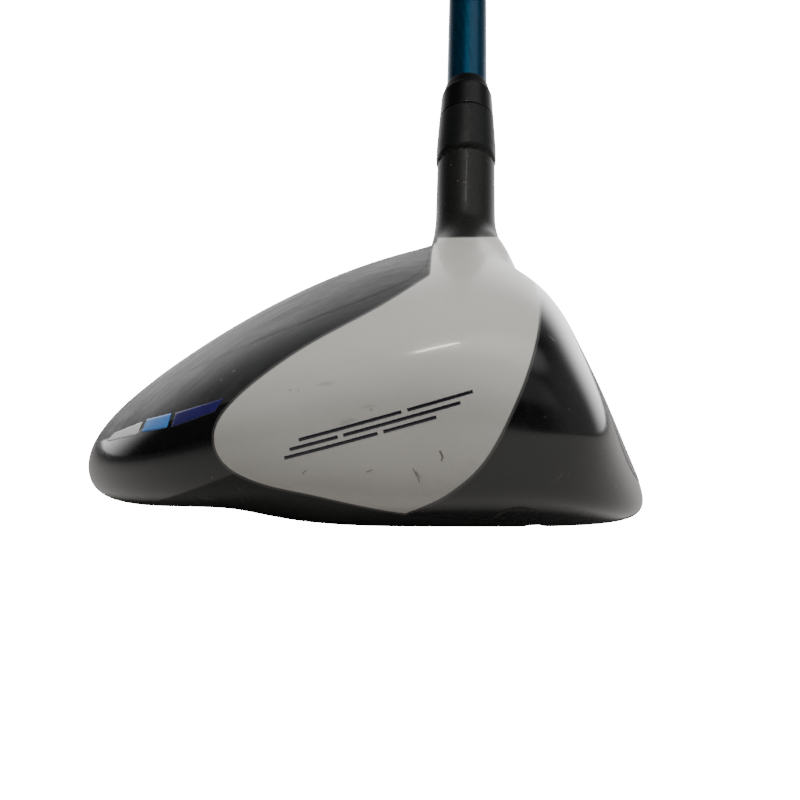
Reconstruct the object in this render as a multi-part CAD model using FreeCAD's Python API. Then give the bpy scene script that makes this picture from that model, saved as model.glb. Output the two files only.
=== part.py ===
import math
import os

import FreeCAD
import Part

Vec = FreeCAD.Vector

# Head sizes, millimetres. The shaft axis meets the ground at the origin.
# +X is the target line, +Y runs toward the heel, +Z is up.
head_length = 76.0
head_depth = 73.0
head_height = 37.0
lie_angle = 60.0
loft_angle = 26.0
wall = 2.0
plate_thickness = 1.1
skin_depth = 0.4
ledge = 3.5
score_pitch = 3.9
score_width = 0.8
score_count = 6
slot_width = 2.4

# Hosel, sleeve and screw
hosel_diameter = 12.8
hosel_top = 67.0
collar_length = 12.6
collar_flare = 0.6
barrel_diameter = 11.0
barrel_length = 29.0
spline_length = 8.0
spline_depth = 0.45
spline_count = 12
screw_diameter = 5.0
screw_head_diameter = 8.6
screw_head_height = 4.2
screw_engagement = 9.0
drive_width = 3.6
washer_thickness = 1.0
clip_thickness = 0.8

# Shaft
club_length = 1003.0
tip_diameter = 9.4
butt_diameter = 15.2
tip_parallel = 75.0
shaft_wall = 1.5
ferrule_length = 10.0
ferrule_chamfer = 3.2
plug_length = 18.0

# Grip
grip_length = 268.0
grip_mouth_diameter = 20.5
grip_butt_diameter = 26.6
cap_thickness = 4.5
cap_lip = 1.2
vent_diameter = 3.2
tape_thickness = 0.35

# Clearances
slide_clearance = 0.05
bond_gap = 0.05
seat_gap = 0.02

# Values that follow from the sizes
loft_slope = math.tan(math.radians(loft_angle))
lie_cos = math.cos(math.radians(lie_angle))
lie_sin = math.sin(math.radians(lie_angle))
axis_dir = Vec(0, lie_cos, lie_sin)
hosel_radius = hosel_diameter / 2
barrel_radius = barrel_diameter / 2
screw_radius = screw_diameter / 2
screw_head_radius = screw_head_diameter / 2
tip_radius = tip_diameter / 2
butt_radius = butt_diameter / 2
bore_radius = tip_radius + bond_gap
sleeve_bottom = hosel_top - barrel_length
sleeve_top = hosel_top + collar_length
collar_radius = hosel_radius + collar_flare / 2
thread_top = sleeve_bottom + screw_engagement
shaft_tip = thread_top + 2.0
ferrule_top = sleeve_top + ferrule_length
seat_level = sleeve_bottom - 18.0
head_level = seat_level - washer_thickness
screw_bottom = head_level - screw_head_height
grip_top = club_length - cap_thickness
grip_bottom = grip_top - grip_length

os.makedirs("parts", exist_ok=True)


def save(name, shape):
    shape.exportStep("parts/" + name + ".step")
    print(name, round(shape.Volume, 1), shape.isValid(), len(shape.Solids))


def largest(shape):
    return max(shape.Solids, key=lambda solid: solid.Volume)


# ---- head surface -------------------------------------------------------

# Shape of one cross-section, leading edge first, then up the face, back over
# the crown, down the tail and forward along the sole. Face entries are the
# height fraction; the rest are (depth fraction from the tail, height fraction).
face_heights = (0.08, 0.26, 0.50, 0.74, 0.915)
crown_points = ((0.88, 1.0), (0.72, 0.99), (0.54, 0.905), (0.36, 0.755), (0.19, 0.56), (0.06, 0.375))
sole_points = ((0.0, 0.20), (0.02, 0.045), (0.13, 0.05), (0.25, 0.065), (0.335, 0.015),
               (0.46, -0.01), (0.68, 0.0), (0.85, 0.0), (0.965, 0.02))

# Cross-sections from the toe to the hosel, each as fractions of head_length,
# head_height and head_depth: top (y, z), bottom (y, z), front x, back x, then
# how far the section is an oval and how evenly its points are spread.
toe_sections = (
    (-1.000, 0.405, -1.000, 0.405, -0.052, -0.052, 1.0, 0.0),
    (-1.000, 0.500, -1.000, 0.311, 0.045, -0.148, 1.0, 0.0),
    (-0.989, 0.605, -0.989, 0.243, 0.137, -0.267, 0.8, 0.0),
    (-0.941, 0.705, -0.941, 0.173, 0.212, -0.408, 0.4, 0.0),
    (-0.842, 0.784, -0.842, 0.103, 0.263, -0.534, 0.1, 0.0),
    (-0.697, 0.851, -0.697, 0.046, 0.296, -0.645, 0.0, 0.0),
    (-0.526, 0.903, -0.526, 0.006, 0.308, -0.689, 0.0, 0.0),
    (-0.355, 0.954, -0.355, 0.000, 0.308, -0.662, 0.0, 0.0),
    (-0.184, 0.997, -0.171, 0.020, 0.297, -0.562, 0.0, 0.0),
    (-0.039, 1.043, 0.000, 0.070, 0.277, -0.404, 0.08, 0.0))
neck_sections = (
    (0.066, 1.092, 0.138, 0.189, 0.250, -0.249, 0.3, 0.2),
    (0.160, 1.165, 0.257, 0.446, 0.192, -0.148, 0.72, 0.6))
hosel_levels = (0.70, 0.80, 0.90, 1.0)
ring_points = 20
ring_start = math.radians(-22.0)
ring_shrink = (2 + math.cos(2 * math.pi / ring_points)) / 3


def axis_point(level):
    return Vec(0, level * lie_cos, level * lie_sin)


def inset_loop(points, distance):
    """Move each point of a closed anticlockwise loop inward by distance."""
    count = len(points)
    moved = []
    for i in range(count):
        before = points[i - 1]
        after = points[(i + 1) % count]
        dx = after[0] - before[0]
        dy = after[1] - before[1]
        size = math.hypot(dx, dy)
        if size < 1e-6:
            moved.append(points[i])
        else:
            moved.append((points[i][0] - distance * dy / size, points[i][1] + distance * dx / size))
    return moved


def sized(section):
    """A row of the section tables in millimetres."""
    top_y, top_z, bottom_y, bottom_z, front, back, oval, even = section
    return (top_y * head_length, top_z * head_height, bottom_y * head_length, bottom_z * head_height,
            front * head_depth, back * head_depth, oval, even)


def hosel_section(level, radius):
    """A round section square to the shaft axis."""
    y = level * lie_cos
    z = level * lie_sin
    return (y - radius * lie_sin, z + radius * lie_cos, y + radius * lie_sin, z - radius * lie_cos,
            radius, -radius, 1.0, 1.0)


def ring(section, inset):
    """Control points of one cross-section, moved inward by inset."""
    top_y, top_z, bottom_y, bottom_z, front, back, oval, even = section
    height = math.hypot(top_y - bottom_y, top_z - bottom_z)
    slide = inset * max(0.0, -top_y) / head_length
    if height < 1e-6:
        return [Vec(front, top_y + slide, top_z)] * ring_points
    points = [(front - loft_slope * (t - face_heights[0]) * height, t) for t in face_heights]
    topline = points[-1][0]
    points += [(back + f * (topline - back), t) for f, t in crown_points]
    points += [(back + f * (front - back), t) for f, t in sole_points]
    centre = (front + back) / 2
    reach = (front - back) / 2
    angles = []
    for x, t in points:
        angle = math.atan2(2 * t - 1, (x - centre) / reach)
        while angles and angle < angles[-1]:
            angle += 2 * math.pi
        angles.append(angle)
    flat = []
    for i in range(ring_points):
        x, t = points[i]
        spread = ring_start + 2 * math.pi * i / ring_points
        angle = angles[i] * (1 - even) + spread * even
        round_x = centre + reach * math.cos(angle)
        round_t = 0.5 + 0.5 * math.sin(angle)
        flat.append((x * (1 - oval) + round_x * oval, (t * (1 - oval) + round_t * oval) * height))
    across_y = (top_y - bottom_y) / height
    across_z = (top_z - bottom_z) / height
    return [Vec(x, bottom_y + h * across_y + slide, bottom_z + h * across_z)
            for x, h in inset_loop(flat, inset)]


def skin(rings):
    """Smooth closed-round surface over a list of control rings."""
    poles = [[loop[i] for loop in rings] for i in range(ring_points)]
    rows = len(rings)
    surface = Part.BSplineSurface()
    surface.buildFromPolesMultsKnots(
        poles, [1] * (ring_points + 1), [4] + [1] * (rows - 4) + [4],
        list(range(ring_points + 1)), list(range(rows - 2)), True, False, 3, 3)
    return surface.toShape()


def closed_solid(face):
    """Cap any open end of a skin and fill it."""
    faces = [face]
    for edge in face.Edges:
        if edge.isClosed() and not edge.isSeam(face) and edge.Length > 1.0:
            faces.append(Part.Face(Part.Wire([edge])))
    shell = Part.makeShell(faces)
    if len(faces) > 1:
        shell.sewShape()
    return Part.Solid(shell)


def head_solid(inset):
    """Whole outside form of the head and hosel, shrunk by inset."""
    rings = [ring(sized(section), inset) for section in toe_sections + neck_sections]
    radius = (hosel_radius - inset) / ring_shrink
    for level in hosel_levels:
        rings.append(ring(hosel_section(level * hosel_top, radius), 0))
    return closed_solid(skin(rings))


def cavity_solid():
    """Hollow inside of the head, closed off before the hosel."""
    rings = [ring(sized(section), wall) for section in toe_sections]
    last = rings[-1]
    centre = sum(last, Vec()) * (1.0 / ring_points)
    for shrink, step in ((0.75, 3.0), (0.4, 4.5), (0.0, 4.5)):
        rings.append([centre + (p - centre) * shrink + Vec(0, step, 0) for p in last])
    return closed_solid(skin(rings))


def lathe(profile):
    """Turn a closed (radius, level) profile about the shaft axis."""
    wire = Part.makePolygon([Vec(r, 0, s) for r, s in profile + profile[:1]])
    solid = Part.Face(wire).revolve(Vec(), Vec(0, 0, 1), 360)
    solid.rotate(Vec(), Vec(1, 0, 0), lie_angle - 90)
    return solid


def rod(bottom, top, radius):
    return Part.makeCylinder(radius, top - bottom, axis_point(bottom), axis_dir)


def prism(points, origin, u_axis, v_axis, direction):
    """Extrude a smooth closed outline given as (u, v) points."""
    curve = Part.BSplineCurve()
    curve.interpolate([origin + u_axis * u + v_axis * v for u, v in points], PeriodicFlag=True)
    return Part.Face(Part.Wire([curve.toShape()])).extrude(direction)


def splined_rod(bottom, top, root, tip, side):
    """Rod with square teeth round it, each thinned by side on both flanks."""
    shape = rod(bottom, top, root)
    width = math.pi * barrel_radius / spline_count - 2 * side
    for i in range(spline_count):
        tooth = Part.makeBox(tip, width, top - bottom, Vec(0, -width / 2, bottom))
        tooth.rotate(Vec(), Vec(0, 0, 1), 360.0 * i / spline_count)
        tooth.rotate(Vec(), Vec(1, 0, 0), lie_angle - 90)
        shape = shape.fuse(tooth)
    return shape.common(rod(bottom, top, tip)).removeSplitter()


outer = head_solid(0)
under = head_solid(skin_depth)
middle = head_solid(plate_thickness)

# ---- crown plate --------------------------------------------------------

crown_outline = [(x * head_depth, y * head_length) for x, y in (
    (-0.060, 0.030), (-0.165, 0.020), (-0.320, -0.110), (-0.450, -0.250), (-0.545, -0.420),
    (-0.550, -0.600), (-0.470, -0.760), (-0.330, -0.870), (-0.180, -0.885), (-0.080, -0.820),
    (-0.053, -0.690), (-0.058, -0.500), (-0.060, -0.300), (-0.058, -0.120))]
crown_floor = 0.27 * head_height
crown_up = Vec(0, 0, head_height)


def crown_block(inset):
    """Upright block over the rear of the crown."""
    loop = inset_loop(crown_outline, inset)
    return prism(loop, Vec(0, 0, crown_floor), Vec(1, 0, 0), Vec(0, 1, 0), crown_up)


crown_cut = outer.common(crown_block(0)).cut(middle)
crown_plate = largest(crown_cut)
save("crown_plate", crown_plate)

# ---- face plate and its score lines ------------------------------------

face_outline = [(y * head_length, z * head_height) for y, z in (
    (-0.870, 0.400), (-0.820, 0.250), (-0.680, 0.165), (-0.460, 0.135), (-0.240, 0.145),
    (-0.090, 0.220), (-0.050, 0.400), (-0.070, 0.640), (-0.130, 0.830), (-0.270, 0.860),
    (-0.450, 0.810), (-0.640, 0.750), (-0.780, 0.660), (-0.850, 0.540))]
face_reach = Vec(head_depth, 0, 0)


def face_block(inset):
    """Block along the target line over the striking face."""
    loop = inset_loop(face_outline, inset)
    return prism(loop, Vec(0, 0, 0), Vec(0, 1, 0), Vec(0, 0, 1), face_reach)


face_cut = outer.common(face_block(0)).cut(middle)
face_plate = largest(face_cut)
score_tool = None
for i in range(score_count):
    level = 0.24 * head_height + i * score_pitch * math.cos(math.radians(loft_angle))
    span = (0.44 - 0.008 * (score_count - i)) * head_length
    bar = Part.makeBox(head_depth, span, score_width, Vec(0, -0.46 * head_length - span / 2, level))
    score_tool = bar if score_tool is None else score_tool.fuse(bar)
face_finished = largest(face_plate.cut(score_tool.common(outer).cut(under)))
save("face_plate", face_finished)

# ---- sole slot and its soft insert -------------------------------------

slot_toe = -0.905 * head_length
slot_heel = -0.130 * head_length
slot_steps = 14


def slot_edge(side):
    """Points along one edge of the slot; side is the distance off its middle line."""
    points = []
    for i in range(slot_steps + 1):
        along = 0.5 - 0.5 * math.cos(math.pi * i / slot_steps)
        y = slot_toe + (slot_heel - slot_toe) * along
        bow = (along - 0.62) / 0.62
        x = head_depth * (0.172 - 0.095 * bow * bow)
        points.append((x + side, y))
    return points


def slot_block(shrink):
    """Upright block along the curved slot behind the leading edge."""
    half = slot_width / 2 - shrink
    front = slot_edge(half)
    back = slot_edge(-half)[::-1]
    heel_end = [(back[0][0] + half, slot_heel + half)]
    toe_end = [(front[0][0] - half, slot_toe - half)]
    return prism(front[:-1] + heel_end + back[1:-1] + toe_end, Vec(0, 0, -0.1 * head_height),
                 Vec(1, 0, 0), Vec(0, 1, 0), Vec(0, 0, 0.35 * head_height))


cavity = cavity_solid()
slot_cut = slot_block(0).common(outer).cut(cavity)
slot_insert = largest(slot_block(bond_gap).common(under).cut(cavity))
save("slot_insert", slot_insert)

# ---- head body ---------------------------------------------------------

tube = rod(screw_bottom - 6.0, hosel_top - 8.0, barrel_radius + 1.3).common(outer)
shell = outer.cut(cavity).fuse(tube)
shell = shell.cut(crown_plate).cut(crown_block(ledge)).cut(face_plate).cut(face_block(ledge))
shell = shell.cut(slot_cut)
bore_low = sleeve_bottom - 1.0
female_root = barrel_radius - spline_depth + slide_clearance
wide = barrel_radius + slide_clearance
shell = shell.cut(rod(bore_low + spline_length + 1.0, hosel_top + 5.0, wide))
shell = shell.cut(splined_rod(bore_low, bore_low + spline_length + 1.5, female_root, wide, 0))
shell = shell.cut(rod(seat_level + 2.4, bore_low + 0.5, screw_radius + 1.6))
shell = shell.cut(rod(seat_level - 0.5, seat_level + 3.0, screw_radius + 0.4))
shell = shell.cut(rod(seat_level - 40.0, seat_level, screw_head_radius + 0.5))
head_body = largest(shell)
save("head_body", head_body)

# ---- screw, washer and clip in the heel --------------------------------

socket_depth = 0.65 * screw_head_height
socket_corner = drive_width / math.sqrt(3)
neck_radius = screw_radius - 0.4
clip_low = seat_level + 2.8
clip_high = clip_low + clip_thickness
thread_tip = thread_top - 1.0
screw = lathe([
    (0, screw_bottom), (screw_head_radius - 0.5, screw_bottom), (screw_head_radius, screw_bottom + 0.5),
    (screw_head_radius, head_level), (screw_radius, head_level), (screw_radius, clip_low - 0.1),
    (neck_radius, clip_low - 0.1), (neck_radius, clip_high + 0.1), (screw_radius, clip_high + 0.1),
    (screw_radius, thread_tip - 0.8), (screw_radius - 0.8, thread_tip), (0, thread_tip)])
corners = []
for i in range(6):
    turn = math.radians(60 * i)
    corners.append(Vec(socket_corner * math.cos(turn), socket_corner * math.sin(turn), screw_bottom - 0.5))
drive = Part.Face(Part.makePolygon(corners + corners[:1])).extrude(Vec(0, 0, socket_depth + 0.5))
drive.rotate(Vec(), Vec(1, 0, 0), lie_angle - 90)
save("hosel_screw", screw.cut(drive))

save("screw_washer", lathe([
    (screw_radius + 0.15, head_level), (screw_head_radius + 0.2, head_level),
    (screw_head_radius + 0.2, seat_level - 0.02), (screw_radius + 0.15, seat_level - 0.02)]))

clip = lathe([
    (neck_radius + 0.03, clip_low), (screw_radius + 1.2, clip_low),
    (screw_radius + 1.2, clip_high), (neck_radius + 0.03, clip_high)])
mouth_width = 2 * neck_radius - 0.6
mouth = Part.makeBox(4.0, mouth_width, clip_thickness + 1, Vec(0, -mouth_width / 2, clip_low - 0.5))
mouth.rotate(Vec(), Vec(1, 0, 0), lie_angle - 90)
save("screw_clip", clip.cut(mouth))

# ---- loft sleeve -------------------------------------------------------

male_root = barrel_radius - spline_depth
male_top = bore_low + spline_length + 1.2
collar_low = hosel_top + seat_gap
thread_radius = screw_radius + slide_clearance
sleeve = lathe([
    (thread_radius, male_top), (barrel_radius, male_top), (barrel_radius, collar_low),
    (hosel_radius, collar_low), (collar_radius, collar_low + 0.9), (collar_radius, collar_low + 4.0),
    (hosel_radius - 0.1, sleeve_top - 0.3), (hosel_radius - 0.4, sleeve_top),
    (bore_radius, sleeve_top), (bore_radius, thread_top), (thread_radius, thread_top)])
teeth = splined_rod(sleeve_bottom, male_top + 0.1, male_root, barrel_radius, slide_clearance)
sleeve = sleeve.fuse(teeth.cut(rod(sleeve_bottom - 1, thread_top + 1, thread_radius)))
save("loft_sleeve", sleeve.cut(rod(thread_top, sleeve_top, bore_radius)).removeSplitter())

# ---- shaft with its tip weight and ferrule -----------------------------

shaft_top = grip_top


def shaft_radius(level):
    """Outside radius of the shaft at a height along its axis."""
    along = (level - shaft_tip - tip_parallel) / (shaft_top - shaft_tip - tip_parallel)
    return tip_radius + (butt_radius - tip_radius) * max(0.0, along)


taper_start = shaft_tip + tip_parallel
save("shaft", lathe([
    (tip_radius - shaft_wall, shaft_tip), (tip_radius, shaft_tip), (tip_radius, taper_start),
    (butt_radius, shaft_top), (butt_radius - shaft_wall, shaft_top),
    (tip_radius - shaft_wall, taper_start)]))

plug_radius = tip_radius - shaft_wall - bond_gap
save("tip_weight", lathe([
    (0, shaft_tip - 1.2), (tip_radius - 0.4, shaft_tip - 1.2), (tip_radius - 0.4, shaft_tip),
    (plug_radius, shaft_tip), (plug_radius, shaft_tip + plug_length - 1.0),
    (plug_radius - 1.0, shaft_tip + plug_length), (0, shaft_tip + plug_length)]))

ferrule_radius = hosel_radius - 0.15
shoulder = ferrule_top - ferrule_chamfer
save("ferrule", lathe([
    (bore_radius, sleeve_top), (ferrule_radius, sleeve_top), (ferrule_radius - 0.35, shoulder),
    (ferrule_radius - 0.6, shoulder + 0.5), (tip_radius + 0.3, ferrule_top), (bore_radius, ferrule_top)]))

# ---- grip --------------------------------------------------------------

tape_low = grip_bottom + 3.0
skin_radius = tape_thickness + 2 * bond_gap
save("grip_tape", lathe([
    (shaft_radius(tape_low) + bond_gap, tape_low),
    (shaft_radius(tape_low) + bond_gap + tape_thickness, tape_low),
    (butt_radius + bond_gap + tape_thickness, grip_top), (butt_radius + bond_gap, grip_top)]))

mouth_radius = grip_mouth_diameter / 2
grip_radius = grip_butt_diameter / 2
groove = 0.5
profile = [(shaft_radius(grip_bottom) + skin_radius, grip_bottom), (mouth_radius - 2.2, grip_bottom),
           (mouth_radius - 0.6, grip_bottom + 1.4), (mouth_radius, grip_bottom + 4.0)]
for fraction in (0.10, 0.13, 0.16, 0.62, 0.65, 0.68):
    level = grip_bottom + fraction * grip_length
    radius = mouth_radius + (grip_radius - 0.6 - mouth_radius) * fraction
    profile += [(radius, level), (radius - groove, level + groove), (radius - groove, level + 1.5),
                (radius, level + 1.5 + groove)]
profile += [(grip_radius - 0.6, grip_top - 6.0), (grip_radius, grip_top - 3.0), (grip_radius, grip_top),
            (butt_radius + skin_radius, grip_top)]
save("grip", lathe(profile))

vent = vent_diameter / 2
save("grip_cap", lathe([
    (vent, grip_top), (grip_radius, grip_top), (grip_radius + cap_lip / 2, grip_top + 1.2),
    (grip_radius + cap_lip / 2, grip_top + 2.4), (grip_radius - 1.4, club_length - 0.8),
    (grip_radius - 4.0, club_length), (vent, club_length)]))
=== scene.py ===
import math

import bmesh
import bpy
import numpy as np
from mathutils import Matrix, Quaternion, Vector


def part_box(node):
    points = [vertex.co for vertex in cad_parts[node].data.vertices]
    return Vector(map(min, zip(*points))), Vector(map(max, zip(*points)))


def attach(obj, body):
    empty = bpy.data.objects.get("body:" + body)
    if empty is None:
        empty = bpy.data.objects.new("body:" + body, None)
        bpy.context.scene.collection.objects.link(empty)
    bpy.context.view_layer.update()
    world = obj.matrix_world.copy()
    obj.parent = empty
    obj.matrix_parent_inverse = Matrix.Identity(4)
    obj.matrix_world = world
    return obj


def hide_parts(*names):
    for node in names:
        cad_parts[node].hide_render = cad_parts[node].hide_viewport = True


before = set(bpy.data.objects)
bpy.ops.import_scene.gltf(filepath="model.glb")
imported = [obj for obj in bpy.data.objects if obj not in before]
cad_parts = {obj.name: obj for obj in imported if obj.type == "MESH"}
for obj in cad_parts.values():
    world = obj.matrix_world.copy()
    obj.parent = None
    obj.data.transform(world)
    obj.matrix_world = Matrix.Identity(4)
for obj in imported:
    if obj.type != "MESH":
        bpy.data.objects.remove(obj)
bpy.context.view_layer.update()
mm = 0.001

club = {
    "lie": math.radians(60.0),
    "loft": math.radians(26.0),
    "headLength": 76.0, "headDepth": 73.0, "headHeight": 37.0,  # millimetres from here on
    "hoselRadius": 6.4, "hoselTop": 67.0,
}
headLength, headDepth, headHeight = club["headLength"], club["headDepth"], club["headHeight"]
lieCos, lieSin = math.cos(club["lie"]), math.sin(club["lie"])
shaftDir = np.array([0.0, lieCos, lieSin])
shaftSide = np.array([1.0, 0.0, 0.0])
shaftBack = np.cross(shaftDir, shaftSide)


# point on the shaft axis at a height along it
def onAxis(level):
    return np.multiply.outer(np.asarray(level, float), shaftDir)


# level of a round node's lowest and highest ring: its box height, less what the leaning ring's radius adds
def lowLevel(node, radius):
    return (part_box(node)[0].z / mm + radius * lieCos) / lieSin


def highLevel(node, radius):
    return (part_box(node)[1].z / mm - radius * lieCos) / lieSin


# smooth run through a few points: each span is a cubic,
# whose slope at a point is half the step between the point's neighbours
def smoothRun(points, steps, closed=False):
    points = np.asarray(points, float)
    count = len(points)
    spans = count if closed else count - 1
    t = np.arange(spans * steps + (0 if closed else 1)) / steps
    i = np.minimum(t.astype(int), spans - 1)
    f = (t - i)[:, None]

    def pick(k):
        return points[k % count] if closed else points[np.clip(k, 0, count - 1)]

    p0, p1, p2, p3 = pick(i - 1), pick(i), pick(i + 1), pick(i + 2)
    return 0.5 * (2 * p1 + (p2 - p0) * f + (2 * p0 - 5 * p1 + 4 * p2 - p3) * f**2
                  + (3 * p1 - p0 - 3 * p2 + p3) * f**3)


# distance from each 2-D point to an open line: the least distance to any of its segments
def lineDistance(points, line):
    best = np.full(len(points), 1e9)
    for a, b in zip(line[:-1], line[1:]):
        ab = b - a
        t = np.clip(((points - a) @ ab) / max(ab @ ab, 1e-18), 0, 1)
        best = np.minimum(best, np.linalg.norm(points - a - t[:, None] * ab, axis=1))
    return best


# distance from each 2-D point to a closed loop,
# negative where a level ray from the point crosses the loop an odd number of times
def loopDistance(points, loop):
    closed = np.concatenate([loop, loop[:1]])
    inside = np.zeros(len(points), bool)
    for a, b in zip(closed[:-1], closed[1:]):
        crosses = (a[1] > points[:, 1]) != (b[1] > points[:, 1])
        with np.errstate(divide="ignore", invalid="ignore"):
            crossing = a[0] + (points[:, 1] - a[1]) * (b - a)[0] / (b - a)[1]
        inside ^= crosses & (points[:, 0] < crossing)
    best = lineDistance(points, closed)
    return np.where(inside, -best, best)


# 0 below low, 1 above high, with a smooth S between
def ease(low, high, x):
    t = np.clip((x - low) / (high - low), 0, 1)
    return t * t * (3 - 2 * t)


# faces of a sheet whose rows are closed rings; a pole row is drawn together to one point,
# and quads that touch a dropped point are left out
def rowFaces(rows, startPole=False, endPole=False, joinEnds=False, dropped=None):
    rows = np.asarray(rows, float)
    count, across = rows.shape[:2]
    last = count if joinEnds else count - 1
    nextRow = (np.arange(count) + 1) % count
    a = np.arange(across)
    b = (a + 1) % across
    low, high = (1 if startPole else 0), (last - 1 if endPole else last)
    i = np.arange(low, high)[:, None]
    j = nextRow[i]
    quads = np.stack([i * across + a, i * across + b, j * across + b, j * across + a], -1).reshape(-1, 4)
    if dropped is not None:
        quads = quads[~np.asarray(dropped).reshape(-1)[quads].any(1)]
    tris = np.zeros((0, 3), int)
    if startPole:
        tris = np.concatenate([tris, np.stack([0 * a, across + b, across + a], -1)])
    if endPole:
        tip = (count - 1) * across
        tris = np.concatenate([tris, np.stack([0 * a + tip, tip - across + a, tip - across + b], -1)])
    return rows.reshape(-1, 3), quads, tris


# one mesh from several sheets, each turned outward by the sign of its enclosed volume
def buildMesh(name, sheets, fields=None, merge=False):
    allPoints, allQuads, allTris, start = [], [], [], 0
    for points, quads, tris in sheets:
        p, q = points[quads], points[tris]
        volume = np.einsum("ij,ij->", p[:, 0], np.cross(p[:, 1], p[:, 2]) + np.cross(p[:, 2], p[:, 3]))
        volume += np.einsum("ij,ij->", q[:, 0], np.cross(q[:, 1], q[:, 2]))
        if volume < 0:
            quads, tris = quads[:, ::-1], tris[:, ::-1]
        allPoints.append(points)
        allQuads.append(quads + start)
        allTris.append(tris + start)
        start += len(points)
    points, quads, tris = map(np.concatenate, (allPoints, allQuads, allTris))
    used = np.zeros(len(points), bool)
    used[quads.ravel()] = True
    used[tris.ravel()] = True
    renumber = np.cumsum(used) - 1
    loops = renumber[np.concatenate([quads.ravel(), tris.ravel()])]
    starts = np.concatenate([np.arange(len(quads)) * 4, 4 * len(quads) + np.arange(len(tris)) * 3])
    mesh = bpy.data.meshes.new(name)
    mesh.vertices.add(int(used.sum()))
    mesh.loops.add(len(loops))
    mesh.polygons.add(len(starts))
    mesh.vertices.foreach_set("co", points[used].astype(np.float32).ravel())
    mesh.loops.foreach_set("vertex_index", loops.astype(np.int32))
    mesh.polygons.foreach_set("loop_start", starts.astype(np.int32))
    mesh.update(calc_edges=True)
    for key, values in (fields or {}).items():
        layer = mesh.attributes.new(key, "FLOAT", "POINT")
        layer.data.foreach_set("value", np.asarray(values, np.float32).reshape(-1)[used])
    if merge:
        work = bmesh.new()
        work.from_mesh(mesh)
        bmesh.ops.remove_doubles(work, verts=work.verts, dist=2e-7)
        work.to_mesh(mesh)
        work.free()
    mesh.shade_smooth()
    piece = bpy.data.objects.new(name, mesh)
    bpy.context.scene.collection.objects.link(piece)
    return piece


# one mesh from one sheet of rows
def rowMesh(name, rows, fields=None, merge=False, **how):
    return buildMesh(name, [rowFaces(rows, **how)], fields, merge)


# surface turned about the shaft axis: rows follow the closed (radius, level) profile, columns go round
def turned(name, profile, around, radiusChange=None):
    profile = np.asarray(profile, float) * mm
    theta = np.linspace(0, 2 * math.pi, around, endpoint=False)
    radius = np.repeat(profile[:, :1], around, 1)
    if radiusChange is not None:
        radius = radius + radiusChange(profile[:, 1:2], theta[None, :]) * mm
    ring = np.cos(theta)[:, None] * shaftSide + np.sin(theta)[:, None] * shaftBack
    rows = onAxis(profile[:, 1])[:, None, :] + radius[..., None] * ring
    return rowMesh(name, rows, joinEnds=True)


# profile with every corner between its ends cut by a small curve that starts the given reach from the corner
def eased(corners, radius, steps=4):
    corners = np.asarray(corners, float)
    out = [corners[:1]]
    for before, here, after in zip(corners, corners[1:], corners[2:]):
        inStep, outStep = before - here, after - here
        reach = min(radius, 0.45 * np.linalg.norm(inStep), 0.45 * np.linalg.norm(outStep))
        start = here + inStep / np.linalg.norm(inStep) * reach
        end = here + outStep / np.linalg.norm(outStep) * reach
        t = np.linspace(0, 1, steps)[:, None]
        out.append((1 - t) ** 2 * start + 2 * t * (1 - t) * here + t * t * end)
    return np.concatenate(out + [corners[-1:]])


# extra points on long stretches so that rows stay evenly spaced
def divided(profile, step):
    pieces = []
    for a, b in zip(profile[:-1], profile[1:]):
        n = max(1, int(math.ceil(np.linalg.norm(b - a) / step)))
        pieces.append(a + (b - a) * (np.arange(n) / n)[:, None])
    return np.concatenate(pieces + [profile[-1:]])


# one cross-section, from the leading edge up the face, over the crown, down the tail and along the sole
head = {
    "faceHeights": (0.08, 0.26, 0.50, 0.74, 0.915),
    "crown": ((0.88, 1.0), (0.72, 0.99), (0.54, 0.905), (0.36, 0.755), (0.19, 0.56), (0.06, 0.375)),
    "sole": ((0.0, 0.20), (0.02, 0.045), (0.13, 0.05), (0.25, 0.065), (0.335, 0.015),
             (0.46, -0.01), (0.68, 0.0), (0.85, 0.0), (0.965, 0.02)),
    # top y, top z, bottom y, bottom z, front x, back x, roundness, evenness
    "sections": (
        (-1.000, 0.405, -1.000, 0.405, -0.052, -0.052, 1.0, 0.0),
        (-1.000, 0.500, -1.000, 0.311, 0.045, -0.148, 1.0, 0.0),
        (-0.989, 0.605, -0.989, 0.243, 0.137, -0.267, 0.8, 0.0),
        (-0.941, 0.705, -0.941, 0.173, 0.212, -0.408, 0.4, 0.0),
        (-0.842, 0.784, -0.842, 0.103, 0.263, -0.534, 0.1, 0.0),
        (-0.697, 0.851, -0.697, 0.046, 0.296, -0.645, 0.0, 0.0),
        (-0.526, 0.903, -0.526, 0.006, 0.308, -0.689, 0.0, 0.0),
        (-0.355, 0.954, -0.355, 0.000, 0.308, -0.662, 0.0, 0.0),
        (-0.184, 0.997, -0.171, 0.020, 0.297, -0.562, 0.0, 0.0),
        (-0.039, 1.043, 0.000, 0.070, 0.277, -0.404, 0.08, 0.0),
        (0.066, 1.092, 0.138, 0.189, 0.250, -0.249, 0.3, 0.2),
        (0.160, 1.165, 0.257, 0.446, 0.192, -0.148, 0.72, 0.6)),
    "hoselLevels": (0.70, 0.80, 0.90, 1.0),
    "ringStart": math.radians(-22.0),
}
ringCount = len(head["faceHeights"]) + len(head["crown"]) + len(head["sole"])


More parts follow.
